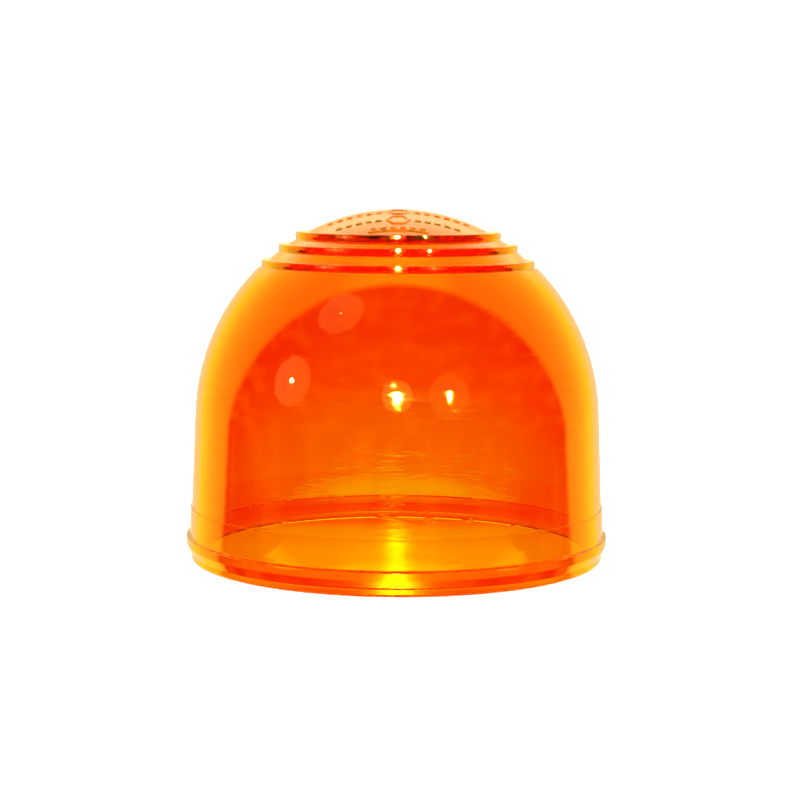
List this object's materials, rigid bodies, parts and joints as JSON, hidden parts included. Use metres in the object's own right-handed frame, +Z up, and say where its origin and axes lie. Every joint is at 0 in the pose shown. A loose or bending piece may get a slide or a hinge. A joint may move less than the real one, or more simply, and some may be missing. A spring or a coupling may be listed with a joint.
{
  "type": "beacon lens",
  "caption": "Hollow see-through amber dome, open at the bottom, with a clamp lip round its rim and a stepped crown that carries raised plain marks.",
  "frame": {"origin": "centre of the flat rim that the lens stands on", "axes": "+Z up the dome's axis, -Y towards the side of the crown that carries the raised marks, +X to the right seen from that side"},
  "size_m": [0.142, 0.142, 0.1168],
  "materials": {
    "amber": "polished and see-through, tinted through its mass"
  },
  "bodies": {
    "root": {"lens": "amber"}
  },
  "joints": []
}
